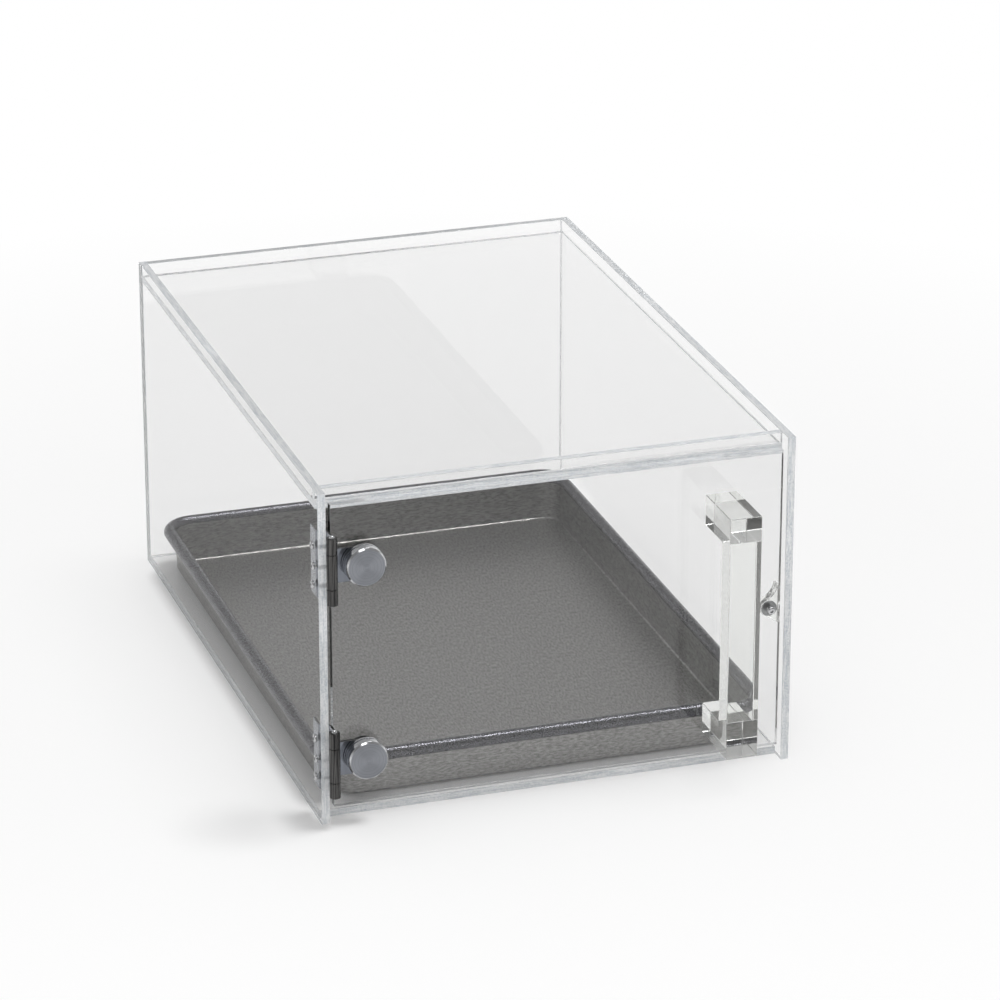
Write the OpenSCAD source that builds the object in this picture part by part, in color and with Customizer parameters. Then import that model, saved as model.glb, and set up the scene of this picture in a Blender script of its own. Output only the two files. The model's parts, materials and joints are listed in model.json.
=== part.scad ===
// Countertop bread display bin: a clear acrylic case with a hinged front door and a lift-out steel tray.
// The origin is the centre of the underside of the case. +Y points to the back, +Z is up.

/* [Case] */
// Width of the case over the side panels
case_w = 266.7; // [230:0.1:360]
// Depth of the side panels, front edge to back edge
case_d = 381; // [300:0.5:480]
// Height of the side panels
case_h = 190.5; // [165:0.5:260]
// Thickness of every acrylic sheet
sheet_t = 4.5; // [4:0.1:6]
// How far the top panel lies below the top edges of the side panels
top_recess = 7; // [3:0.1:12]

/* [Door] */
// Set-back of the door's outer face from the front edges of the side panels
door_setback = 3.5; // [3:0.1:6]
// Gap between the closed door and the front edges of the top and bottom panels
door_seat_gap = 0.3; // [0.2:0.05:0.6]
// Gap between the door and the right side panel
door_latch_gap = 1.1; // [1:0.1:2]
// Gap between the door and the bottom panel
door_bottom_gap = 3.5; // [1:0.1:6]
// How far the door's top edge stays below the upper face of the top panel
door_top_step = 1.3; // [0.3:0.1:3]

/* [Handle] */
// Width of the handle across the door
handle_w = 18; // [12:0.5:26]
// Length of the handle along the door
handle_l = 140; // [100:0.5:150]
// Reach of the handle in front of the door
handle_reach = 38; // [30:0.5:50]
// Thickness of the handle's bar
handle_bar = 12.7; // [8:0.1:16]
// Height of each of the handle's two arms
handle_arm = 17.5; // [10:0.1:20]
// Height of the handle's lower end above the counter
handle_z = 22; // [14:0.5:30]
// Distance from the handle to the door's free edge
handle_inset = 26.2; // [16:0.1:40]

/* [Hinges] */
// Height of the lower hinge's centre above the counter
lower_hinge_z = 36.8; // [34:0.1:48]
// Distance from the top edge of the case down to the upper hinge's centre
upper_hinge_drop = 42; // [38:0.1:56]
// Length of a hinge barrel
barrel_l = 38; // [36:0.5:44]
// Diameter of a hinge barrel
barrel_d = 6; // [5.6:0.1:6.4]
// Distance of the hinge axis inward from the left side panel's inner face
axis_in = 1.65; // [1.5:0.05:2]
// Distance of the hinge axis in front of the side panels
axis_out = 5; // [4.6:0.1:6]
// Length of the middle knuckle, which turns with the door
mid_knuckle_l = 19.6; // [18:0.1:21]
// Gap between neighbouring knuckles
knuckle_gap = 0.3; // [0.2:0.05:0.5]
// Thickness of the hinge leaves
leaf_t = 1.2; // [1:0.05:1.3]
// Reach of the case leaf behind the side panel's front edge
leaf_reach = 17.5; // [16:0.1:24]
// Gap between the bulge of the case leaf and the door leaf
leaf_clear = 0.45; // [0.4:0.05:0.6]
// Diameter of a hinge pin
pin_d = 3; // [2.4:0.1:3.2]
// Radial clearance of the pin in the turning knuckle
pin_clear = 0.05; // [0.02:0.01:0.1]

/* [Door clamps] */
// Distance from the door's hinged edge to a clamp's centre
clamp_inset = 16.9; // [15:0.1:24]
// Diameter of a cap nut
cap_d = 22; // [20:0.1:23]
// Thickness of a cap nut
cap_t = 7.5; // [6.5:0.1:9]
// Diameter of a clamp screw's shank
clamp_shank_d = 5; // [4:0.1:6]
// Diameter of a clamp screw's flat head
clamp_head_d = 16; // [12:0.1:18]
// Thickness of a clamp screw's flat head
clamp_head_t = 2.5; // [2:0.1:3.2]
// Thickness of the gasket between a hinge leaf and the door
gasket_t = 0.8; // [0.5:0.1:1]
// Thickness of the rubber washer inside the door
washer_t = 1; // [0.6:0.1:1.5]
// Diameter of the rubber washer inside the door
washer_d = 18; // [18:0.1:20]
// Radial clearance of the clamp screw in the parts it passes through
clamp_clear = 0.3; // [0.1:0.05:0.5]

/* [Leaf screws] */
// Diameter of a leaf screw's shank
leaf_screw_d = 2.5; // [2:0.1:3]
// Diameter of a leaf screw's button head
leaf_screw_head_d = 4.4; // [4:0.1:5.4]
// Height of a leaf screw's button head
leaf_screw_head_t = 1.3; // [1:0.1:2]
// Distance of the outer two screws behind the side panel's front edge
leaf_screw_back = 9.8; // [9.5:0.1:12]
// How far the middle screw lies in front of the other two
leaf_screw_stagger = 1.8; // [0:0.1:2]
// Height difference between neighbouring screws
leaf_screw_pitch = 11.2; // [9:0.1:12]
// How far the middle screw lies below the hinge's centre
leaf_screw_drop = 1.2; // [0:0.1:3]
// Radial clearance of a leaf screw in the side panel
leaf_screw_clear = 0.15; // [0.05:0.05:0.3]

/* [Catch] */
// Thickness of the door stop
stop_t = 6.4; // [5:0.1:9]
// Height of the catch above the counter
catch_z = 88.9; // [70:0.1:120]
// Distance of the catch's centre from the right side panel's inner face
catch_inset = 6.25; // [6:0.05:7]
// Radius of the stop's boss round the magnet
boss_r = 5; // [4.8:0.1:5.5]
// Diameter of the magnet
magnet_d = 9; // [7:0.1:9.2]
// Thickness of the magnet
magnet_t = 3.2; // [2:0.1:4]
// Rise of the stop above the catch's centre
stop_rise = 13.1; // [12.5:0.1:15]
// Fall of the stop below the catch's centre
stop_fall = 9.6; // [9:0.1:12]
// Width of the stop's horn at its upper end
horn_w = 1.6; // [1.4:0.1:2]
// Radius of the hollow in the stop's upper edge
hollow_r = 10; // [8:0.1:12]
// Diameter of the strike screw's shank
strike_d = 2.5; // [2:0.1:3]
// Diameter of the strike screw's head
strike_head_d = 4.4; // [4:0.1:5]
// Height of the strike screw's head
strike_head_t = 1.3; // [1:0.1:1.8]

/* [Tray] */
// Clearance between the tray's rim and each side panel
tray_side_gap = 2.3; // [2:0.05:10]
// Distance of the tray's rim behind the front edges of the side panels
tray_front_gap = 15.2; // [15:0.1:24]
// Clearance between the tray's rim and the back panel
tray_back_gap = 8.5; // [4:0.1:14]
// Height of the tray
tray_h = 28; // [18:0.1:40]
// Sheet thickness of the tray
tray_t = 0.9; // [0.7:0.05:1.2]
// Diameter of the tray's rolled rim
rim_d = 7.4; // [5:0.1:8.4]
// Corner radius of the tray over the rim
tray_corner_r = 20; // [16:0.5:30]
// How far the tray's walls lean in from rim to floor
tray_lean = 0.8; // [0.5:0.1:2.5]
// Radius of the bend between the tray's floor and its walls
tray_bend_r = 2; // [1.5:0.1:4]

/* [Hidden] */
$fn = 64;

// Small fit values: over-length of cutters and bite of threads and pressed pins
cut_extra = 1;
thread_bite = 0.02;

// Case: front and back planes, inner faces, and where the inset panels begin
front = -case_d / 2;
back = case_d / 2;
inner_x = case_w / 2 - sheet_t;
door_face = front + door_setback;
door_back = door_face + sheet_t;
panel_front = door_back + door_seat_gap;
panel_back = back - sheet_t;
top_face = case_h - top_recess;

// Hinge: axis, barrel radius and the places of the door's edges
axis_x = -inner_x + axis_in;
axis_y = front - axis_out;
barrel_r = barrel_d / 2;
upper_hinge_z = case_h - upper_hinge_drop;
door_left = axis_x + barrel_r - leaf_t;
door_right = inner_x - door_latch_gap;
door_low = sheet_t + door_bottom_gap;
door_high = top_face - door_top_step;
hole_r = pin_d / 2 + pin_clear;
plate_back = door_face - gasket_t;
plate_front = plate_back - leaf_t;
clamp_x = door_left + clamp_inset;
clamp_hole_r = clamp_shank_d / 2 + clamp_clear;
cap_bore = cap_t * 0.8;

// Case leaf: centre line of the bulge, and the flat stretch on the wall
bulge_u = axis_in + barrel_r - leaf_t - leaf_clear - leaf_t / 2;
flat_from = 8.5;
bulge_to = 3;
leaf_tip = barrel_r * 0.8 - axis_out;
bend_steps = 10;
mid_cut_behind_barrel = 0.7;
leaf_bend_r = 0.8;
leaf_screw_heights = [for (i = [-1 : 1]) i * leaf_screw_pitch - leaf_screw_drop];

// Catch: centre, and the circle that hollows the stop's upper edge, which meets the boss and the horn's tip
catch_x = inner_x - catch_inset;
horn_tip = [catch_inset - horn_w, stop_rise];
horn_d = norm(horn_tip);
hollow_along = (pow(boss_r + hollow_r, 2) - pow(hollow_r, 2) + pow(horn_d, 2)) / (2 * horn_d);
hollow_across = sqrt(pow(boss_r + hollow_r, 2) - pow(hollow_along, 2));
hollow_c = (hollow_along * horn_tip + hollow_across * [-horn_tip[1], horn_tip[0]]) / horn_d;
neck_angle = atan2(hollow_c[1], hollow_c[0]);
tip_angle = atan2(horn_tip[1] - hollow_c[1], horn_tip[0] - hollow_c[0]);
toe_angle = 360 + atan2(-stop_fall, catch_inset) - acos(boss_r / norm([catch_inset, stop_fall]));

// Tray: outline of its rim, and one wall's section measured outward from a corner's centre
tray_hw = inner_x - tray_side_gap;
tray_front = front + tray_front_gap;
tray_back = panel_back - tray_back_gap;
rim_r = rim_d / 2;
rim_c = [tray_corner_r - rim_r, tray_h - rim_r];
wall_top = rim_c[0] - rim_r + tray_t;
wall_low = wall_top - tray_lean;
bend_c = [wall_low - tray_bend_r, tray_bend_r];

// Where each of the case leaf's points lies inward of the wall, v being the distance behind the front
function leaf_u(v) =
    v >= flat_from ? leaf_t / 2
    : v <= bulge_to ? bulge_u
    : leaf_t / 2 + (bulge_u - leaf_t / 2) * (1 - cos(180 * (flat_from - v) / (flat_from - bulge_to))) / 2;

function arc(c, r, a0, a1, n) = [for (i = [0 : n]) let (a = a0 + (a1 - a0) * i / n) c + r * [cos(a), sin(a)]];

module panel(x0, x1, y0, y1, z0, z1) {
    translate([x0, y0, z0]) cube([x1 - x0, y1 - y0, z1 - z0]);
}

// A rod along Y from y0 to y1
module rod_y(x, z, r, y0, y1) {
    translate([x, y1, z]) rotate([90, 0, 0]) cylinder(r = r, h = y1 - y0);
}

// A rod along X from x0 to x1
module rod_x(y, z, r, x0, x1) {
    translate([x0, y, z]) rotate([0, 90, 0]) cylinder(r = r, h = x1 - x0);
}

// Case panels
module side_panel(x0) {
    panel(x0, x0 + sheet_t, front, back, 0, case_h);
}

module left_side_panel() {
    color([0.86, 0.9, 0.93, 0.4]) difference() {
        side_panel(-case_w / 2);
        for (z = [lower_hinge_z, upper_hinge_z]) leaf_screw_places(z)
            rod_x(0, 0, leaf_screw_d / 2 + leaf_screw_clear, -case_w / 2 - cut_extra, -inner_x + cut_extra);
    }
}

module right_side_panel() {
    color([0.86, 0.9, 0.93, 0.4]) side_panel(inner_x);
}

module back_panel() {
    color([0.86, 0.9, 0.93, 0.4]) panel(-inner_x, inner_x, panel_back, back, 0, case_h);
}

module top_panel() {
    color([0.86, 0.9, 0.93, 0.4]) panel(-inner_x, inner_x, panel_front, panel_back, top_face - sheet_t, top_face);
}

module top_front_rim() {
    color([0.8, 0.87, 0.93, 0.5])
        panel(-inner_x, inner_x, panel_front, panel_front + sheet_t, top_face, case_h);
}

module bottom_panel() {
    color([0.86, 0.9, 0.93, 0.4]) panel(-inner_x, inner_x, panel_front, panel_back, 0, sheet_t);
}

// Catch: a clear stop on the side wall, a magnet pressed into it and a steel screw in the door
module stop_outline() {
    polygon(concat(
        [[catch_inset, stop_rise], [catch_inset, -stop_fall]],
        arc([0, 0], boss_r, toe_angle, neck_angle, 12),
        arc(hollow_c, hollow_r, neck_angle - 180, tip_angle, 10)
    ));
}

module door_stop() {
    color([0.84, 0.87, 0.9, 0.5]) difference() {
        translate([catch_x, panel_front + stop_t, catch_z]) rotate([90, 0, 0])
            linear_extrude(stop_t) stop_outline();
        rod_y(catch_x, catch_z, magnet_d / 2, panel_front - cut_extra, panel_front + magnet_t);
    }
}

module catch_magnet() {
    color([0.5, 0.5, 0.5]) rod_y(catch_x, catch_z, magnet_d / 2, panel_front, panel_front + magnet_t);
}

// A button-headed screw along +X with its head's bearing face at the origin and a hexagonal socket
module button_screw(shank_r, shank_l, head_r, head_t) {
    socket_r = head_r * 0.5;
    edge = min(head_r * 0.4, head_t * 0.8);
    rotate([0, 90, 0]) {
        cylinder(r = shank_r, h = shank_l);
        translate([0, 0, -head_t]) difference() {
            rotate_extrude() polygon(concat(
                [[0, head_t], [0, 0]], arc([head_r - edge, edge], edge, -90, 0, 4), [[head_r, head_t]]
            ));
            translate([0, 0, -cut_extra]) cylinder(r = socket_r, h = head_t * 0.7 + cut_extra, $fn = 6);
        }
    }
}

module strike_screw() {
    color([0.75, 0.75, 0.75]) translate([catch_x, door_face, catch_z]) rotate([0, 0, 90])
        button_screw(strike_d / 2, sheet_t, strike_head_d / 2, strike_head_t);
}

// Hinges: puts its children at the three leaf screws of the hinge at height z
module leaf_screw_places(z) {
    for (i = [0 : 2])
        translate([0, front + leaf_screw_back - (i == 1 ? leaf_screw_stagger : 0), z + leaf_screw_heights[i]])
            children();
}

module hinge_leaf_screws() {
    color([0.6, 0.6, 0.62]) for (z = [lower_hinge_z, upper_hinge_z]) leaf_screw_places(z)
        translate([-case_w / 2, 0, 0])
            button_screw(leaf_screw_d / 2, sheet_t + leaf_t, leaf_screw_head_d / 2, leaf_screw_head_t);
}

// Section of the case leaf seen from above, from its back edge on the wall to the barrel
module case_leaf_outline() {
    bend = [for (i = [0 : bend_steps]) flat_from - (flat_from - bulge_to) * i / bend_steps];
    spine = concat([leaf_reach], bend, [leaf_tip]);
    outer = [for (v = spine) [leaf_u(v) + leaf_t / 2, v]];
    wall_side = [for (i = [len(spine) - 1 : -1 : 0]) [leaf_u(spine[i]) - leaf_t / 2, spine[i]]];
    translate([-inner_x, front]) polygon(concat(outer, wall_side));
}

module case_leaf(z) {
    end_l = (barrel_l - mid_knuckle_l) / 2 - knuckle_gap;
    mid_gap = mid_knuckle_l + 2 * knuckle_gap;
    translate([0, 0, z - barrel_l / 2]) difference() {
        union() {
            linear_extrude(barrel_l) case_leaf_outline();
            for (low = [0, barrel_l - end_l]) translate([axis_x, axis_y, low]) cylinder(r = barrel_r, h = end_l);
        }
        panel(
            -inner_x, axis_x + barrel_d, axis_y - barrel_d, axis_y + barrel_r + mid_cut_behind_barrel,
            end_l, end_l + mid_gap
        );
        translate([axis_x, axis_y, -cut_extra])
            cylinder(r = pin_d / 2 - thread_bite, h = barrel_l + 2 * cut_extra);
        for (i = [0 : 2])
            rod_x(
                front + leaf_screw_back - (i == 1 ? leaf_screw_stagger : 0),
                barrel_l / 2 + leaf_screw_heights[i], leaf_screw_d / 2 - thread_bite,
                -inner_x - cut_extra, -inner_x + leaf_t + cut_extra
            );
    }
}

module upper_case_leaf() {
    color([0.45, 0.46, 0.49]) case_leaf(upper_hinge_z);
}

module lower_case_leaf() {
    color([0.45, 0.46, 0.49]) case_leaf(lower_hinge_z);
}

module hinge_pin(z) {
    translate([axis_x, axis_y, z]) {
        cylinder(d = pin_d, h = barrel_l, center = true);
        for (end = [-1, 1]) translate([0, 0, end * barrel_l / 2]) sphere(d = pin_d);
    }
}

module upper_hinge_pin() {
    color([0.82, 0.82, 0.82]) hinge_pin(upper_hinge_z);
}

module lower_hinge_pin() {
    color([0.82, 0.82, 0.82]) hinge_pin(lower_hinge_z);
}

// Section of the door leaf's bend seen from above, from the knuckle to the start of its plate
module door_leaf_bend(plate_from) {
    outer_r = leaf_bend_r + leaf_t;
    bend_at = [door_left + outer_r, plate_back - outer_r];
    polygon(concat(
        [[door_left, axis_y]],
        arc(bend_at, outer_r, 180, 90, 6),
        [[plate_from, plate_back], [plate_from, plate_front]],
        arc(bend_at, leaf_bend_r, 90, 180, 6),
        [[door_left + leaf_t, axis_y]]
    ));
}

// Outline on the door of a hinge plate of height h, round at its clamp's end
module clamp_plate(x0, h, y0, y1, z) {
    panel(x0, clamp_x, y0, y1, z - h / 2, z + h / 2);
    rod_y(clamp_x, z, h / 2, y0, y1);
}

module door_leaf(z) {
    plate_from = door_left + 2 * (leaf_bend_r + leaf_t);
    difference() {
        union() {
            translate([0, 0, z - mid_knuckle_l / 2]) {
                linear_extrude(mid_knuckle_l) door_leaf_bend(plate_from);
                translate([axis_x, axis_y, 0]) cylinder(r = barrel_r, h = mid_knuckle_l);
            }
            clamp_plate(plate_from, mid_knuckle_l, plate_front, plate_back, z);
        }
        translate([axis_x, axis_y, z - mid_knuckle_l]) cylinder(r = hole_r, h = 2 * mid_knuckle_l);
        rod_y(clamp_x, z, clamp_hole_r, plate_front - cut_extra, plate_back + cut_extra);
    }
}

module upper_door_leaf() {
    color([0.49, 0.5, 0.53]) door_leaf(upper_hinge_z);
}

module lower_door_leaf() {
    color([0.49, 0.5, 0.53]) door_leaf(lower_hinge_z);
}

module leaf_gasket(z) {
    difference() {
        clamp_plate(door_left + 2 * (leaf_bend_r + leaf_t), mid_knuckle_l, plate_back, door_face, z);
        rod_y(clamp_x, z, clamp_hole_r, plate_back - cut_extra, door_face + cut_extra);
    }
}

module upper_leaf_gasket() {
    color([0.1, 0.1, 0.1]) leaf_gasket(upper_hinge_z);
}

module lower_leaf_gasket() {
    color([0.1, 0.1, 0.1]) leaf_gasket(lower_hinge_z);
}

// Cap nut: a back ring, a groove and a chamfered front, with a blind bore for the clamp screw
module cap_nut(z) {
    r = cap_d / 2;
    edge = 0.4;
    groove_depth = 0.8;
    groove_from = cap_t * 0.24;
    groove_to = cap_t * 0.36;
    chamfer = 0.9;
    translate([clamp_x, plate_front, z]) rotate([90, 0, 0]) difference() {
        rotate_extrude() polygon([
            [0, 0], [r - edge, 0], [r, edge], [r, groove_from], [r - groove_depth, groove_from],
            [r - groove_depth, groove_to], [r, groove_to], [r, cap_t - chamfer], [r - chamfer, cap_t], [0, cap_t]
        ]);
        translate([0, 0, -cut_extra]) cylinder(r = clamp_shank_d / 2 - thread_bite, h = cap_bore + cut_extra);
    }
}

module upper_cap_nut() {
    color([0.5, 0.51, 0.53]) cap_nut(upper_hinge_z);
}

module lower_cap_nut() {
    color([0.5, 0.51, 0.53]) cap_nut(lower_hinge_z);
}

// Clamp screw: a flat head inside the door, and a shank that reaches into the cap nut
module clamp_screw(z) {
    bearing = door_back + washer_t;
    head_edge = 0.5;
    socket_r = 2.3;
    r = clamp_head_d / 2;
    rod_y(clamp_x, z, clamp_shank_d / 2, plate_front - cap_bore + thread_bite, bearing);
    translate([clamp_x, bearing, z]) rotate([-90, 0, 0]) difference() {
        rotate_extrude() polygon([
            [0, 0], [r, 0], [r, clamp_head_t - head_edge], [r - head_edge, clamp_head_t], [0, clamp_head_t]
        ]);
        translate([0, 0, clamp_head_t * 0.3]) cylinder(r = socket_r, h = clamp_head_t, $fn = 6);
    }
}

module upper_clamp_screw() {
    color([0.7, 0.7, 0.71]) clamp_screw(upper_hinge_z);
}

module lower_clamp_screw() {
    color([0.7, 0.7, 0.71]) clamp_screw(lower_hinge_z);
}

module back_washer(z) {
    difference() {
        rod_y(clamp_x, z, washer_d / 2, door_back, door_back + washer_t);
        rod_y(clamp_x, z, clamp_hole_r, door_back - cut_extra, door_back + washer_t + cut_extra);
    }
}

module upper_back_washer() {
    color([0.08, 0.08, 0.08]) back_washer(upper_hinge_z);
}

module lower_back_washer() {
    color([0.08, 0.08, 0.08]) back_washer(lower_hinge_z);
}

// Door: one sheet, drilled for the two clamps and the strike screw
module door_panel() {
    color([0.88, 0.92, 0.95, 0.3]) difference() {
        panel(door_left, door_right, door_face, door_back, door_low, door_high);
        for (z = [lower_hinge_z, upper_hinge_z])
            rod_y(clamp_x, z, clamp_hole_r, door_face - cut_extra, door_back + cut_extra);
        rod_y(catch_x, catch_z, strike_d / 2 - thread_bite, door_face - cut_extra, door_back + cut_extra);
    }
}

// Handle: a bar held off the door by an arm at each end, all in one piece
module door_handle() {
    x1 = door_right - handle_inset;
    x0 = x1 - handle_w;
    color([0.84, 0.86, 0.86, 0.5]) difference() {
        panel(x0, x1, door_face - handle_reach, door_face, handle_z, handle_z + handle_l);
        panel(
            x0 - cut_extra, x1 + cut_extra, door_face - handle_reach + handle_bar, door_face + cut_extra,
            handle_z + handle_arm, handle_z + handle_l - handle_arm
        );
    }
}

// Tray: section of its floor, leaning wall and rolled rim, swept round the outline
module tray_section() {
    polygon(concat(
        [[0, 0]],
        arc(bend_c, tray_bend_r, -90, 0, 6),
        [[wall_top, rim_c[1]], [wall_top - tray_t, rim_c[1]]],
        arc(bend_c, tray_bend_r - tray_t, 0, -90, 6),
        [[0, tray_t]]
    ));
    translate(rim_c) circle(r = rim_r);
}

module bread_tray() {
    half_l = (tray_back - tray_front) / 2;
    corner = [tray_hw - tray_corner_r, half_l - tray_corner_r];
    color([0.52, 0.51, 0.5]) translate([0, (tray_front + tray_back) / 2, sheet_t]) {
        translate([-corner[0], -corner[1], 0]) cube([2 * corner[0], 2 * corner[1], tray_t]);
        for (side = [0 : 3]) {
            along = side % 2 == 0 ? corner : [corner[1], corner[0]];
            rotate([0, 0, 90 * side]) {
                translate([along[0], along[1], 0]) rotate_extrude(angle = 90) tray_section();
                translate([along[0], along[1], 0]) rotate([90, 0, 0]) linear_extrude(2 * along[1]) tray_section();
            }
        }
    }
}

left_side_panel();
right_side_panel();
back_panel();
top_panel();
top_front_rim();
bottom_panel();
door_stop();
catch_magnet();
upper_case_leaf();
lower_case_leaf();
upper_hinge_pin();
lower_hinge_pin();
hinge_leaf_screws();
door_panel();
door_handle();
upper_door_leaf();
lower_door_leaf();
upper_leaf_gasket();
lower_leaf_gasket();
upper_cap_nut();
lower_cap_nut();
upper_clamp_screw();
lower_clamp_screw();
upper_back_washer();
lower_back_washer();
strike_screw();
bread_tray();
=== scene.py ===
import json
import math

import bmesh
import bpy
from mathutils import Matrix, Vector


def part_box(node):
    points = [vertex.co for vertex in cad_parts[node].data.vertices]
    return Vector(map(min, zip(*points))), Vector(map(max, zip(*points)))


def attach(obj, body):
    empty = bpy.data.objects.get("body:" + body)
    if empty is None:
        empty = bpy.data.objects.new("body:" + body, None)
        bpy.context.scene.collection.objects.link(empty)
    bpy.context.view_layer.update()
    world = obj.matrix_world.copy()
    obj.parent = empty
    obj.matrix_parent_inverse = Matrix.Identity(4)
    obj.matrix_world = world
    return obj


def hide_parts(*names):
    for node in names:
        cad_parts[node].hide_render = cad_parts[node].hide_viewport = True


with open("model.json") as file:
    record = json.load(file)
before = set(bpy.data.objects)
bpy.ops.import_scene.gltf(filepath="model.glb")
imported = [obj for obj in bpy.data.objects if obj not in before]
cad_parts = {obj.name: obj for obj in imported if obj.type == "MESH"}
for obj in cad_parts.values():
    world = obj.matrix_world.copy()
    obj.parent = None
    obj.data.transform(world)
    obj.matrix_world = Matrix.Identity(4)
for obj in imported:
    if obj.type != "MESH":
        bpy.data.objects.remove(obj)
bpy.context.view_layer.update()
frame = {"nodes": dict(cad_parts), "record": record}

scene = bpy.context.scene
MM = 0.001
X, Y, Z = 0, 1, 2

# Camera at the photograph's angle, worked out from the case's visible corners; lens and sensor in millimetres
CAMERA_PLACE = Vector((-0.7529, -2.4016, 1.1294))
CAMERA_AZIMUTH = math.radians(18.026)
CAMERA_ELEVATION = math.radians(22.316)
CAMERA_LENS = 171.9
SENSOR = 36.0

# Light levels that add up to about 1 on the floor, so that a colour renders about as written
ROOM_LIGHT = 0.55
KEY_LIGHT = 0.33
KEY_PLACE = Vector((0.8, -0.1, 2.2))
KEY_SPREAD = 0.3
SOFTBOX_WATTS = 5.0
SOFTBOX_PLACE = Vector((-0.25, -1.1, 1.8))
SOFTBOX_TARGET = Vector((0, 0, 0.1))
SOFTBOX_SIDE = 0.7

# What metal and acrylic show of the room, by the direction in which they show it: white where it rises
# less than the first value, then greyer up to the next, and dimmer toward the front, down to a share
WHITE_UP_TO = 0.12
GREY_FROM = 0.42
GREY_OVERHEAD = 0.42
DIM_FRONT = -0.8
DIM_SHARE = 0.4

# The floor keeps its shadow near the case and fades to plain white between these distances from it
FLOOR_HALF = 6.0
FLOOR_DROP = 0.05 * MM
FADE_FROM = 0.36
FADE_TO = 0.8

# Acrylic: its IOR, the most that a polished face mirrors of what meets it from outside, and the
# reflected share past which light counts as trapped inside
ACRYLIC_IOR = 1.49
MOST_GLARE = 0.05
TRAPPED = 0.97

# Eased corners of each kind of part, and the hairline left by the cement in a bonded seam
SHEET_ARRIS = 0.25 * MM
HANDLE_ARRIS = 0.45 * MM
STOP_ARRIS = 0.2 * MM
MAGNET_ARRIS = 0.25 * MM
LEAF_ARRIS = 0.2 * MM
PIN_ARRIS = 0.05 * MM
SMALL_SCREW_ARRIS = 0.08 * MM
CLAMP_ARRIS = 0.1 * MM
EASING_STEPS = 2
SEAM = 0.03 * MM

# Faces that meet at less than the first angle are joined, and at more than the others their edge is sharp
FLAT_ANGLE = math.radians(0.5)
SHARP_ANGLE = math.radians(35)
TRAY_SHARP_ANGLE = math.radians(30)

# Hinge: its axis, and the barrel's radius with a little to spare, for telling its faces from the leaf's
HINGE_X, HINGE_Y, _ = frame["record"]["behaviour"]["joints"][0]["pos_m"]
BARREL_REACH = 3.05 * MM

# Tray: its place from the frame, and its section
TRAY_LOW, TRAY_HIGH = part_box("bread_tray")
TRAY_SHEET = 0.9 * MM
TRAY_CORNER = 20 * MM
RIM_RADIUS = 3.7 * MM
WALL_LEAN = 0.8 * MM
FLOOR_BEND = 2.0 * MM
CORNER_STEPS = 24
BEND_STEPS = 8
RIM_STEPS = 40


# Colours and nodes

def linear(hex_colour):
    """An sRGB hex colour as linear red, green, blue and full alpha."""
    parts = [int(hex_colour[i:i + 2], 16) / 255 for i in (1, 3, 5)]
    return [c / 12.92 if c <= 0.04045 else ((c + 0.055) / 1.055) ** 2.4 for c in parts] + [1.0]


def add(tree, kind, inputs=None, **settings):
    """Adds a node with its settings; an input is a value or the socket that feeds it."""
    new = tree.nodes.new(kind)
    for name, value in settings.items():
        setattr(new, name, value)
    for name, value in (inputs or {}).items():
        if isinstance(value, bpy.types.NodeSocket):
            tree.links.new(value, new.inputs[name])
        else:
            new.inputs[name].default_value = value
    return new


def blank_material(name):
    material = bpy.data.materials.new(name)
    material.use_nodes = True
    material.node_tree.nodes.clear()
    return material, material.node_tree


def close(tree, shader):
    add(tree, "ShaderNodeOutputMaterial", {"Surface": shader.outputs[0]})


def place(tree, stretch=(1, 1, 1)):
    """Object coordinates in millimetres, squeezed along each axis by stretch."""
    coords = add(tree, "ShaderNodeTexCoord")
    return add(tree, "ShaderNodeMapping", {
        "Vector": coords.outputs["Object"], "Scale": [s / MM for s in stretch],
    }).outputs[0]


def grain(tree, size_mm, stretch=(1, 1, 1), detail=3.0):
    """Noise whose blobs are about size_mm across, drawn out along the axes with a small stretch."""
    return add(tree, "ShaderNodeTexNoise", {
        "Vector": place(tree, stretch), "Scale": 1 / size_mm, "Detail": detail, "Roughness": 0.55,
    }).outputs["Fac"]


def between(tree, source, low, high, from_low=0.3, from_high=0.7):
    """Source taken from its own range, by default that of most noise, to the one from low to high."""
    return add(tree, "ShaderNodeMapRange", {
        "Value": source, "From Min": from_low, "From Max": from_high, "To Min": low, "To Max": high,
    }).outputs[0]


def shade(tree, source, dark, light):
    """A colour between two hex colours by a socket from 0 to 1."""
    ramp = add(tree, "ShaderNodeMix", {"Factor": source}, data_type="RGBA")
    ramp.inputs[6].default_value = linear(dark)
    ramp.inputs[7].default_value = linear(light)
    return ramp.outputs[2]


def bump(tree, height, depth_mm):
    return add(tree, "ShaderNodeBump", {
        "Height": height, "Distance": depth_mm * MM, "Strength": 1.0,
    }).outputs[0]


def mirrored(tree, path):
    """1 for the rays by which metal and acrylic show their surroundings, and 0 for the others."""
    return add(tree, "ShaderNodeMath", {
        0: path.outputs["Is Glossy Ray"], 1: path.outputs["Is Transmission Ray"],
    }, operation="MAXIMUM").outputs[0]


# Acrylic

def lets_light_through(tree, shader, share):
    """Shows shader to the eye, and lets the light of lamps and pale surfaces pass with this share."""
    path = add(tree, "ShaderNodeLightPath")
    through = add(tree, "ShaderNodeBsdfTransparent", {"Color": [share, share, share, 1]})
    bounced = add(tree, "ShaderNodeMixShader", {
        0: path.outputs["Is Diffuse Ray"], 1: shader.outputs[0], 2: through.outputs[0],
    })
    close(tree, add(tree, "ShaderNodeMixShader", {
        0: path.outputs["Is Shadow Ray"], 1: bounced.outputs[0], 2: through.outputs[0],
    }))


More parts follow.
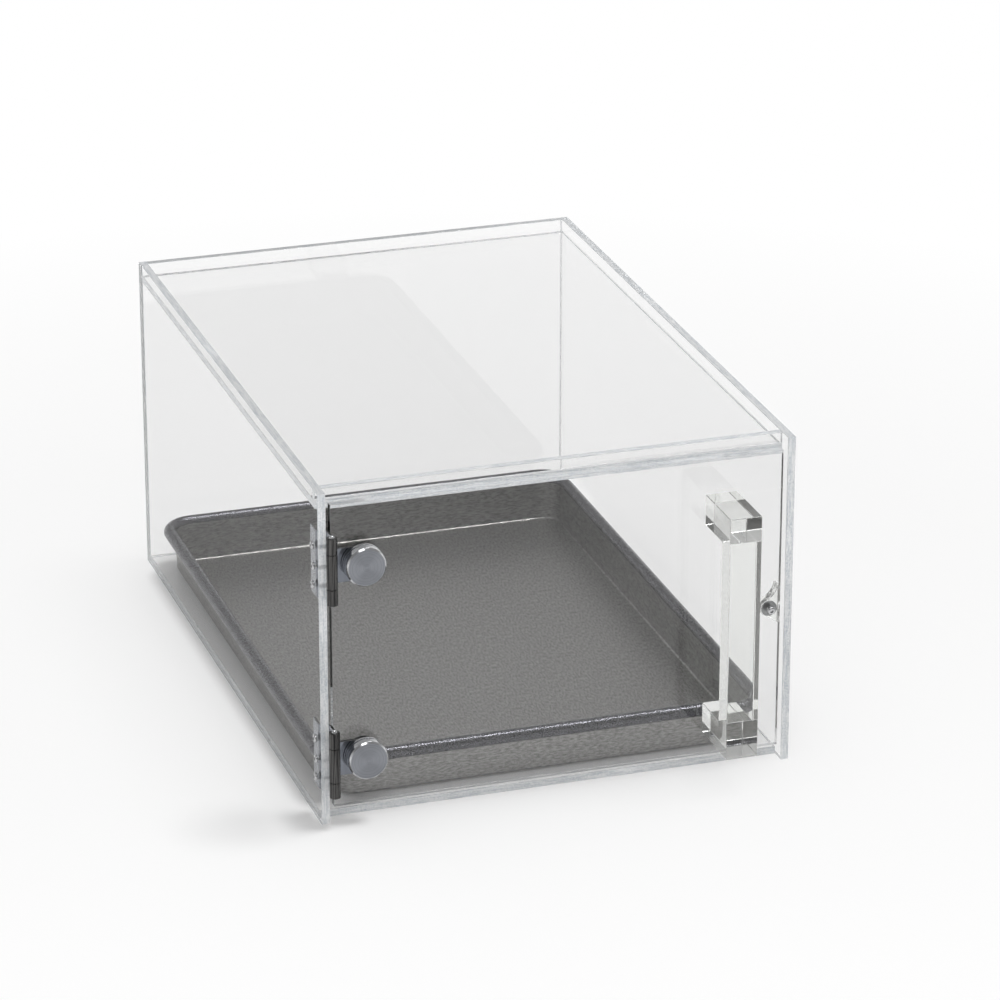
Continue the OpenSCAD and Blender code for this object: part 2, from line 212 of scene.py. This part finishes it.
def polished_acrylic():
    """Polished cast sheet. Its glancing glare is held down, as by a photographer's polarising filter."""
    material, tree = blank_material("polished acrylic")
    # Cast sheet is never quite flat: a slow ripple about 45 mm long bends reflections a little
    ripple = bump(tree, grain(tree, 45, detail=0.0), 0.02)
    glare = add(tree, "ShaderNodeFresnel", {"IOR": ACRYLIC_IOR, "Normal": ripple}).outputs[0]
    held = add(tree, "ShaderNodeMath", {0: glare, 1: MOST_GLARE}, operation="MINIMUM")
    trapped = add(tree, "ShaderNodeMath", {0: glare, 1: TRAPPED}, operation="GREATER_THAN")
    share = add(tree, "ShaderNodeMath", {0: held.outputs[0], 1: trapped.outputs[0]}, operation="MAXIMUM")
    bends = add(tree, "ShaderNodeBsdfRefraction", {
        "Color": linear("#fdfdfd"), "Roughness": 0.0, "IOR": ACRYLIC_IOR, "Normal": ripple,
    })
    mirrors = add(tree, "ShaderNodeBsdfAnisotropic", {
        "Color": linear("#ffffff"), "Roughness": 0.0, "Normal": ripple,
    })
    lets_light_through(tree, add(tree, "ShaderNodeMixShader", {
        0: share.outputs[0], 1: bends.outputs[0], 2: mirrors.outputs[0],
    }), 0.98)
    return material


def sawn_acrylic(across):
    """A sawn and scraped edge of a sheet that is thin along the axis across.

    Fine marks along the edge scatter the light, so it looks greyish white and half clear.
    """
    material, tree = blank_material("sawn acrylic edge " + "xyz"[across])
    # Saw and scraper marks are lines about 0.7 mm wide and up to 12 mm long, broken up by a fine grain
    lines = [1.0 if axis == across else 0.06 for axis in range(3)]
    marks = add(tree, "ShaderNodeMath", {
        0: grain(tree, 0.7, lines, detail=4.0), 1: grain(tree, 0.6),
    }, operation="ADD").outputs[0]
    lets_light_through(tree, add(tree, "ShaderNodeBsdfPrincipled", {
        "Base Color": shade(tree, between(tree, marks, 0, 1, 0.8, 1.15), "#c9d0d6", "#ffffff"),
        "Roughness": between(tree, grain(tree, 2.5), 0.04, 0.12),
        "IOR": ACRYLIC_IOR, "Transmission Weight": 0.5, "Normal": bump(tree, marks, 0.02),
    }), 0.94)
    return material


def machined_acrylic():
    """A thick machined and polished part: mirror-clear inside, with faint flow in its depth."""
    material, tree = blank_material("machined acrylic")
    lets_light_through(tree, add(tree, "ShaderNodeBsdfPrincipled", {
        "Base Color": shade(tree, grain(tree, 20, detail=1.0), "#f6f7f5", "#fbfcfa"),
        "Roughness": 0.0, "IOR": ACRYLIC_IOR, "Transmission Weight": 1.0,
        "Normal": bump(tree, grain(tree, 12, detail=1.0), 0.02),
    }), 0.96)
    return material


# Metals and rubber, whose marks are drawn coarser than the real tenths of a millimetre so that they show

def bare_metal(tree, colour, roughness, normal=None):
    inputs = {"Metallic": 1.0, "Base Color": colour, "Roughness": roughness}
    if normal is not None:
        inputs["Normal"] = normal
    close(tree, add(tree, "ShaderNodeBsdfPrincipled", inputs))


def rolled_steel():
    """Rolled stainless leaf, nearly polished: bluish mid-grey, with clear reflections of the cap."""
    material, tree = blank_material("rolled stainless steel")
    colour = shade(tree, grain(tree, 3, (1, 1, 0.2)), "#696c73", "#7f838a")
    bare_metal(tree, colour, between(tree, grain(tree, 0.5, (0.15, 0.15, 1)), 0.1, 0.17))
    return material


def drawn_steel():
    """Hinge barrel, drawn steel gone dark: fine lines along its length split each reflection."""
    material, tree = blank_material("drawn dark steel")
    lines = between(tree, grain(tree, 0.5, (1, 1, 0.02), 1.0), 0, 1, 0.35, 0.65)
    bare_metal(
        tree, shade(tree, lines, "#202021", "#605f5e"),
        between(tree, grain(tree, 0.4, (1, 1, 0.05)), 0.18, 0.34),
        bump(tree, grain(tree, 0.45, (1, 1, 0.02)), 0.02),
    )
    return material


def spun_steel_painted_darker():
    """Turned face: fine rings round the centre spread each light into a fan across them. Its colour is
    painted shade, darker than the same steel on the cap's side.
    """
    material, tree = blank_material("spun stainless steel")
    coords = add(tree, "ShaderNodeTexCoord").outputs["Object"]
    outward = add(tree, "ShaderNodeVectorMath", {0: coords, 1: (1, 0, 1)}, operation="MULTIPLY").outputs[0]
    radius = add(tree, "ShaderNodeVectorMath", {0: outward}, operation="LENGTH").outputs["Value"]
    # Turning marks are about 0.05 mm apart and are drawn at 0.35 mm so that they show
    ring_count = add(tree, "ShaderNodeMath", {0: radius, 1: 1 / (0.35 * MM)}, operation="MULTIPLY").outputs[0]
    rings = add(tree, "ShaderNodeTexNoise", {
        "W": ring_count, "Scale": 1.0, "Detail": 2.0,
    }, noise_dimensions="1D").outputs["Fac"]
    # Painted shade: the face's colour is darker than the side's steel, standing in for the dim room that it
    # reflects
    close(tree, add(tree, "ShaderNodeBsdfPrincipled", {
        "Base Color": shade(tree, between(tree, rings, 0, 1), "#7c7f85", "#9a9ca1"), "Metallic": 1.0,
        "Roughness": between(tree, rings, 0.3, 0.4), "Anisotropic": 0.95, "Tangent": outward,
    }))
    return material


def turned_steel():
    """The cap's chamfer and side, turned bright: they catch the lamps as white arcs."""
    material, tree = blank_material("bright turned steel")
    colour = shade(tree, grain(tree, 0.8, (0.3, 1, 0.3)), "#bcbdc0", "#d6d7d9")
    bare_metal(tree, colour, between(tree, grain(tree, 0.4, (0.2, 1, 0.2)), 0.1, 0.2))
    return material


def machined_steel():
    """Screws and pins, nearly polished: small bright points."""
    material, tree = blank_material("bright machined steel")
    colour = shade(tree, grain(tree, 1.5), "#b2b3b5", "#cfcfd0")
    bare_metal(tree, colour, between(tree, grain(tree, 0.6), 0.14, 0.26))
    return material


def nickel():
    """Dull nickel plate over the pressed magnet: an even grey disc."""
    material, tree = blank_material("dull nickel plate")
    colour = shade(tree, grain(tree, 0.9), "#77797a", "#939494")
    bare_metal(tree, colour, between(tree, grain(tree, 0.5), 0.28, 0.45))
    return material


def tray_steel(name, brushed):
    """Brushed stainless sheet: long fine scratches along the brushed axes smear what it reflects."""
    material, tree = blank_material(name)
    lines = [0.04 if along else 1.0 for along in brushed]
    mottled = [0.3 if along else 1.0 for along in brushed]
    mottle = between(tree, grain(tree, 0.9, mottled, 4.0), 0, 1, 0.35, 0.65)
    bare_metal(
        tree, shade(tree, mottle, "#72716f", "#9f9e9c"), between(tree, grain(tree, 0.8, lines), 0.28, 0.44),
        bump(tree, grain(tree, 0.7, lines), 0.05),
    )
    return material


def painted_dark_rim_steel():
    """The rolled rim: the walls' steel with its colour painted dark, as painted shade, and a grainy
    highlight.
    """
    material, tree = blank_material("rim steel painted dark")
    # Painted shade: the dark colour stands in for the dark room that the rim reflects
    bare_metal(
        tree, shade(tree, between(tree, grain(tree, 0.8), 0, 1), "#323235", "#636368"),
        between(tree, grain(tree, 0.8), 0.2, 0.34), bump(tree, grain(tree, 0.8, detail=4.0), 0.12),
    )
    return material


def rubber():
    """Black rubber sheet, matt and slightly grainy, so it stays a plain dark ring."""
    material, tree = blank_material("black rubber")
    speckle = grain(tree, 0.4)
    close(tree, add(tree, "ShaderNodeBsdfPrincipled", {
        "Base Color": shade(tree, speckle, "#121212", "#1c1c1c"),
        "Roughness": between(tree, speckle, 0.6, 0.75), "IOR": 1.52,
        "Normal": bump(tree, speckle, 0.03),
    }))
    return material


def sweep_paper():
    """White paper sweep under the case, matt, which the eye sees fade to plain white away from the case."""
    material, tree = blank_material("white paper sweep")
    paper = add(tree, "ShaderNodeBsdfPrincipled", {
        "Base Color": shade(tree, grain(tree, 400), "#fdfdfd", "#ffffff"), "Roughness": 0.9,
        "Specular IOR Level": 0.0,
    })
    plain = add(tree, "ShaderNodeEmission", {"Color": linear("#ffffff"), "Strength": 1.0})
    reach = add(tree, "ShaderNodeVectorMath", {
        0: add(tree, "ShaderNodeTexCoord").outputs["Object"],
    }, operation="LENGTH").outputs["Value"]
    path = add(tree, "ShaderNodeLightPath")
    looked_at = add(tree, "ShaderNodeMath", {
        0: path.outputs["Is Camera Ray"], 1: mirrored(tree, path),
    }, operation="MAXIMUM")
    far = add(tree, "ShaderNodeMath", {
        0: between(tree, reach, 0, 1, FADE_FROM, FADE_TO), 1: looked_at.outputs[0],
    }, operation="MULTIPLY")
    close(tree, add(tree, "ShaderNodeMixShader", {
        0: far.outputs[0], 1: paper.outputs[0], 2: plain.outputs[0],
    }))
    return material


ACRYLIC = polished_acrylic()
ACRYLIC_EDGES = [sawn_acrylic(axis) for axis in (X, Y, Z)]
ACRYLIC_BLOCK = machined_acrylic()
LEAF_STEEL = rolled_steel()
BARREL_STEEL = drawn_steel()
# The cap's face, its colour painted darker as painted shade
CAP_FACE_PAINTED_DARKER = spun_steel_painted_darker()
CAP_SIDE_STEEL = turned_steel()
SCREW_STEEL = machined_steel()
MAGNET_NICKEL = nickel()
TRAY_WALL = tray_steel("brushed tray wall steel", (True, True, False))
TRAY_FLOOR = tray_steel("brushed tray floor steel", (False, True, False))
# The rim's steel, its colour painted dark as painted shade
TRAY_RIM_PAINTED_DARK = painted_dark_rim_steel()
RUBBER = rubber()


# Pieces

def outfit(piece, body, node_names):
    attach(piece, body)
    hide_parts(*node_names)
    return piece


def sharpen(work, limit):
    """Marks the edges where two faces meet at more than the limit as sharp."""
    for edge in work.edges:
        edge.smooth = len(edge.link_faces) == 2 and edge.calc_face_angle() < limit


def from_node(node_name, piece_name, centre, inset):
    """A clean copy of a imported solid, with its flat faces joined up and drawn in by inset on every side."""
    low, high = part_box(node_name)
    middle = (low + high) / 2
    scale = [(side - 2 * inset) / side for side in high - low]
    work = bmesh.new()
    work.from_mesh(frame["nodes"][node_name].data)
    bmesh.ops.remove_doubles(work, verts=work.verts, dist=1e-6)
    bmesh.ops.dissolve_limit(work, angle_limit=FLAT_ANGLE, verts=work.verts, edges=work.edges)
    for vert in work.verts:
        vert.co = Vector([m + (c - m) * s for m, c, s in zip(middle, vert.co, scale)]) - centre
    for face in work.faces:
        face.smooth = True
        face.material_index = 0
    sharpen(work, SHARP_ANGLE)
    mesh = bpy.data.meshes.new(piece_name)
    work.to_mesh(mesh)
    work.free()
    piece = bpy.data.objects.new(piece_name, mesh)
    piece.location = centre
    scene.collection.objects.link(piece)
    return piece


def ease(piece, width, finish=-1):
    """Rounds every sharp corner, as machining or a file leaves it, in the finish of that material slot."""
    soft = piece.modifiers.new("eased corners", "BEVEL")
    soft.width = width
    soft.segments = EASING_STEPS
    soft.limit_method = "ANGLE"
    soft.angle_limit = SHARP_ANGLE
    soft.harden_normals = True
    soft.material = finish
    soft.use_clamp_overlap = True


def sheet(node_name, body, polished, inset):
    """An acrylic panel, polished across the given axes, its thin one first, and sawn elsewhere."""
    piece = from_node(node_name, "acrylic_" + node_name, Vector((0, 0, 0)), inset)
    piece.data.materials.append(ACRYLIC)
    piece.data.materials.append(ACRYLIC_EDGES[polished[0]])
    for face in piece.data.polygons:
        face.material_index = 0 if max(abs(face.normal[axis]) for axis in polished) > 0.5 else 1
    ease(piece, SHEET_ARRIS, finish=1 if len(polished) == 1 else -1)
    return outfit(piece, body, [node_name])


def fitted(node_name, body, material, width, inset=0.0, centre=Vector((0, 0, 0))):
    """A solid part with eased corners in one material."""
    piece = from_node(node_name, "finished_" + node_name, centre, inset)
    piece.data.materials.append(material)
    ease(piece, width)
    return outfit(piece, body, [node_name])


def hinge_half(node_name, body):
    """A hinge leaf in rolled steel with its knuckles in darker drawn steel."""
    piece = fitted(node_name, body, LEAF_STEEL, LEAF_ARRIS, SEAM)
    piece.data.materials.append(BARREL_STEEL)
    for face in piece.data.polygons:
        reach = math.hypot(face.center.x - HINGE_X, face.center.y - HINGE_Y)
        face.material_index = int(reach < BARREL_REACH)


def cap(node_name):
    """A cap nut with a spun face, its colour painted darker as painted shade, and a bright chamfer and side,
    made round its own centre.
    """
    low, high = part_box(node_name)
    piece = fitted(node_name, "door", CAP_FACE_PAINTED_DARKER, CLAMP_ARRIS, centre=(low + high) / 2)
    piece.data.materials.append(CAP_SIDE_STEEL)
    for face in piece.data.polygons:
        face.material_index = int(abs(face.normal.y) < 0.9)


sheet("left_side_panel", "case", [X], 0)
sheet("right_side_panel", "case", [X], 0)
sheet("back_panel", "case", [Y], SEAM)
sheet("top_panel", "case", [Z], SEAM)
sheet("bottom_panel", "case", [Z], SEAM)
sheet("top_front_rim", "case", [Y], SEAM)
sheet("door_panel", "door", [Y, X], 0)
fitted("door_stop", "case", ACRYLIC_BLOCK, STOP_ARRIS, SEAM)
fitted("door_handle", "door", ACRYLIC_BLOCK, HANDLE_ARRIS, SEAM)
fitted("catch_magnet", "case", MAGNET_NICKEL, MAGNET_ARRIS, SEAM)
fitted("strike_screw", "door", SCREW_STEEL, SMALL_SCREW_ARRIS)
fitted("hinge_leaf_screws", "case", SCREW_STEEL, SMALL_SCREW_ARRIS)

for level in ("upper", "lower"):
    hinge_half(level + "_case_leaf", "case")
    hinge_half(level + "_door_leaf", "door")
    fitted(level + "_hinge_pin", "case", SCREW_STEEL, PIN_ARRIS)
    fitted(level + "_leaf_gasket", "door", RUBBER, CLAMP_ARRIS)
    fitted(level + "_back_washer", "door", RUBBER, CLAMP_ARRIS)
    cap(level + "_cap_nut")
    fitted(level + "_clamp_screw", "door", SCREW_STEEL, CLAMP_ARRIS)


# Tray: its section swept round the outline

def arc_points(centre, radius, start, end, steps):
    """Points along an arc between two angles in degrees."""
    angles = [math.radians(start + (end - start) * i / steps) for i in range(steps + 1)]
    return [(centre[0] + radius * math.cos(a), centre[1] + radius * math.sin(a)) for a in angles]


def tray_section():
    """The tray's wall from the floor's underside over the rim to its top face.

    Each point is its distance outward from a corner's centre and its height above the tray's underside.
    """
    height = TRAY_HIGH.z - TRAY_LOW.z
    rim = (TRAY_CORNER - RIM_RADIUS, height - RIM_RADIUS)
    wall_top = rim[0] - RIM_RADIUS + TRAY_SHEET
    bend = (wall_top - WALL_LEAN - FLOOR_BEND, FLOOR_BEND)
    meet = math.degrees(math.acos((RIM_RADIUS - TRAY_SHEET) / RIM_RADIUS))
    outer = [(0, 0)] + arc_points(bend, FLOOR_BEND, -90, 0, BEND_STEPS)
    roll = arc_points(rim, RIM_RADIUS, -180 + meet, 180, RIM_STEPS)
    inner = arc_points(bend, FLOOR_BEND - TRAY_SHEET, 0, -90, BEND_STEPS) + [(0, TRAY_SHEET)]
    return outer, roll, inner


def tray_rings(work, section):
    """The section set up at every step round the four corners, as rows of vertices."""
    half_x = (TRAY_HIGH.x - TRAY_LOW.x) / 2 - TRAY_CORNER
    half_y = (TRAY_HIGH.y - TRAY_LOW.y) / 2 - TRAY_CORNER
    middle_y = (TRAY_LOW.y + TRAY_HIGH.y) / 2
    rings = []
    for quarter, (side_x, side_y) in enumerate(((1, 1), (-1, 1), (-1, -1), (1, -1))):
        for step in range(CORNER_STEPS + 1):
            turn = math.radians(90 * (quarter + step / CORNER_STEPS))
            rings.append([
                work.verts.new((
                    side_x * half_x + out * math.cos(turn),
                    side_y * half_y + out * math.sin(turn) + middle_y,
                    TRAY_LOW.z + up,
                )) for out, up in section
            ])
    return rings


def tray():
    """The pan, with its walls, rim and floor each in a finish of their own; the rim's darker colour is
    painted shade.
    """
    # The rim's slot takes the steel whose colour is painted dark, as painted shade
    wall_finish, painted_dark_rim_finish, floor_finish = range(3)
    outer, roll, inner = tray_section()
    section = outer + roll + inner
    rim_from = len(outer)
    rim_to = rim_from + len(roll) - 1
    work = bmesh.new()
    rings = tray_rings(work, section)
    for ring, following in zip(rings, rings[1:] + rings[:1]):
        for j in range(len(section) - 1):
            face = work.faces.new([ring[j], following[j], following[j + 1], ring[j + 1]])
            face.material_index = painted_dark_rim_finish if rim_from <= j < rim_to else wall_finish
            if j in (0, len(section) - 2):
                face.material_index = floor_finish
    bmesh.ops.remove_doubles(work, verts=work.verts, dist=1e-7)
    loops = [e for e in work.edges if e.is_boundary]
    for face in bmesh.ops.holes_fill(work, edges=loops, sides=0)["faces"]:
        face.material_index = floor_finish
    bmesh.ops.recalc_face_normals(work, faces=work.faces)
    for face in work.faces:
        face.smooth = True
    sharpen(work, TRAY_SHARP_ANGLE)
    mesh = bpy.data.meshes.new("bread_tray_pan")
    work.to_mesh(mesh)
    work.free()
    for finish in (TRAY_WALL, TRAY_RIM_PAINTED_DARK, TRAY_FLOOR):
        mesh.materials.append(finish)
    piece = bpy.data.objects.new("bread_tray_pan", mesh)
    scene.collection.objects.link(piece)
    outfit(piece, "tray", ["bread_tray"])


tray()


# Studio: white floor, white surroundings that go grey overhead, a key light above and a softbox in front

def floor():
    corners = [(x * FLOOR_HALF, y * FLOOR_HALF, -FLOOR_DROP) for x, y in ((-1, -1), (1, -1), (1, 1), (-1, 1))]
    mesh = bpy.data.meshes.new("studio_floor")
    mesh.from_pydata(corners, [], [(0, 1, 2, 3)])
    mesh.materials.append(sweep_paper())
    piece = bpy.data.objects.new("studio_floor", mesh)
    scene.collection.objects.link(piece)


def surroundings():
    """White to the eye, dimmer as a light, and in reflections white near the horizon and greyer overhead."""
    world = bpy.data.worlds.new("studio")
    scene.world = world
    world.use_nodes = True
    tree = world.node_tree
    tree.nodes.clear()
    way = add(tree, "ShaderNodeSeparateXYZ", {0: add(tree, "ShaderNodeTexCoord").outputs["Generated"]})
    height = between(tree, way.outputs["Z"], 1.0, GREY_OVERHEAD, WHITE_UP_TO, GREY_FROM)
    front = between(tree, way.outputs["Y"], DIM_SHARE, 1.0, DIM_FRONT, 0.0)
    room = add(tree, "ShaderNodeMath", {0: height, 1: front}, operation="MULTIPLY")
    path = add(tree, "ShaderNodeLightPath")
    white = linear("#ffffff")
    light = add(tree, "ShaderNodeBackground", {"Color": white, "Strength": ROOM_LIGHT})
    shown = add(tree, "ShaderNodeBackground", {"Color": white, "Strength": room.outputs[0]})
    straight = add(tree, "ShaderNodeBackground", {"Color": white, "Strength": 1.0})
    indirect = add(tree, "ShaderNodeMixShader", {
        0: mirrored(tree, path), 1: light.outputs[0], 2: shown.outputs[0],
    })
    full = add(tree, "ShaderNodeMixShader", {
        0: path.outputs["Is Camera Ray"], 1: indirect.outputs[0], 2: straight.outputs[0],
    })
    add(tree, "ShaderNodeOutputWorld", {"Surface": full.outputs[0]})


def aim(name, data, spot, ahead):
    """Puts a lamp or the camera at a spot, looking ahead."""
    piece = bpy.data.objects.new(name, data)
    piece.location = spot
    piece.rotation_mode = "QUATERNION"
    piece.rotation_quaternion = ahead.to_track_quat("-Z", "Y")
    scene.collection.objects.link(piece)
    return piece


def lamp(name, kind, spot, target, power, **settings):
    light = bpy.data.lights.new(name, kind)
    light.energy = power
    for key, value in settings.items():
        setattr(light, key, value)
    aim(name, light, spot, target - spot)


def camera():
    data = bpy.data.cameras.new("camera")
    data.lens = CAMERA_LENS
    data.sensor_width = SENSOR
    flat = math.cos(CAMERA_ELEVATION)
    scene.camera = aim("camera", data, CAMERA_PLACE, Vector((
        math.sin(CAMERA_AZIMUTH) * flat, math.cos(CAMERA_AZIMUTH) * flat, -math.sin(CAMERA_ELEVATION),
    )))


floor()
surroundings()
# A sun of this power gives a white floor the brightness KEY_LIGHT
sun_power = KEY_LIGHT * math.pi / KEY_PLACE.normalized().z
lamp("key light", "SUN", KEY_PLACE, Vector((0, 0, 0)), sun_power, angle=KEY_SPREAD)
lamp("front softbox", "AREA", SOFTBOX_PLACE, SOFTBOX_TARGET, SOFTBOX_WATTS, shape="SQUARE", size=SOFTBOX_SIDE)
camera()

# Light crosses many acrylic faces before it leaves the case, so it gets many bounces
scene.view_settings.view_transform = "Standard"
scene.cycles.max_bounces = 64
scene.cycles.transmission_bounces = 64
scene.cycles.glossy_bounces = 32
scene.cycles.transparent_max_bounces = 32
scene.cycles.caustics_reflective = False
scene.cycles.caustics_refractive = False
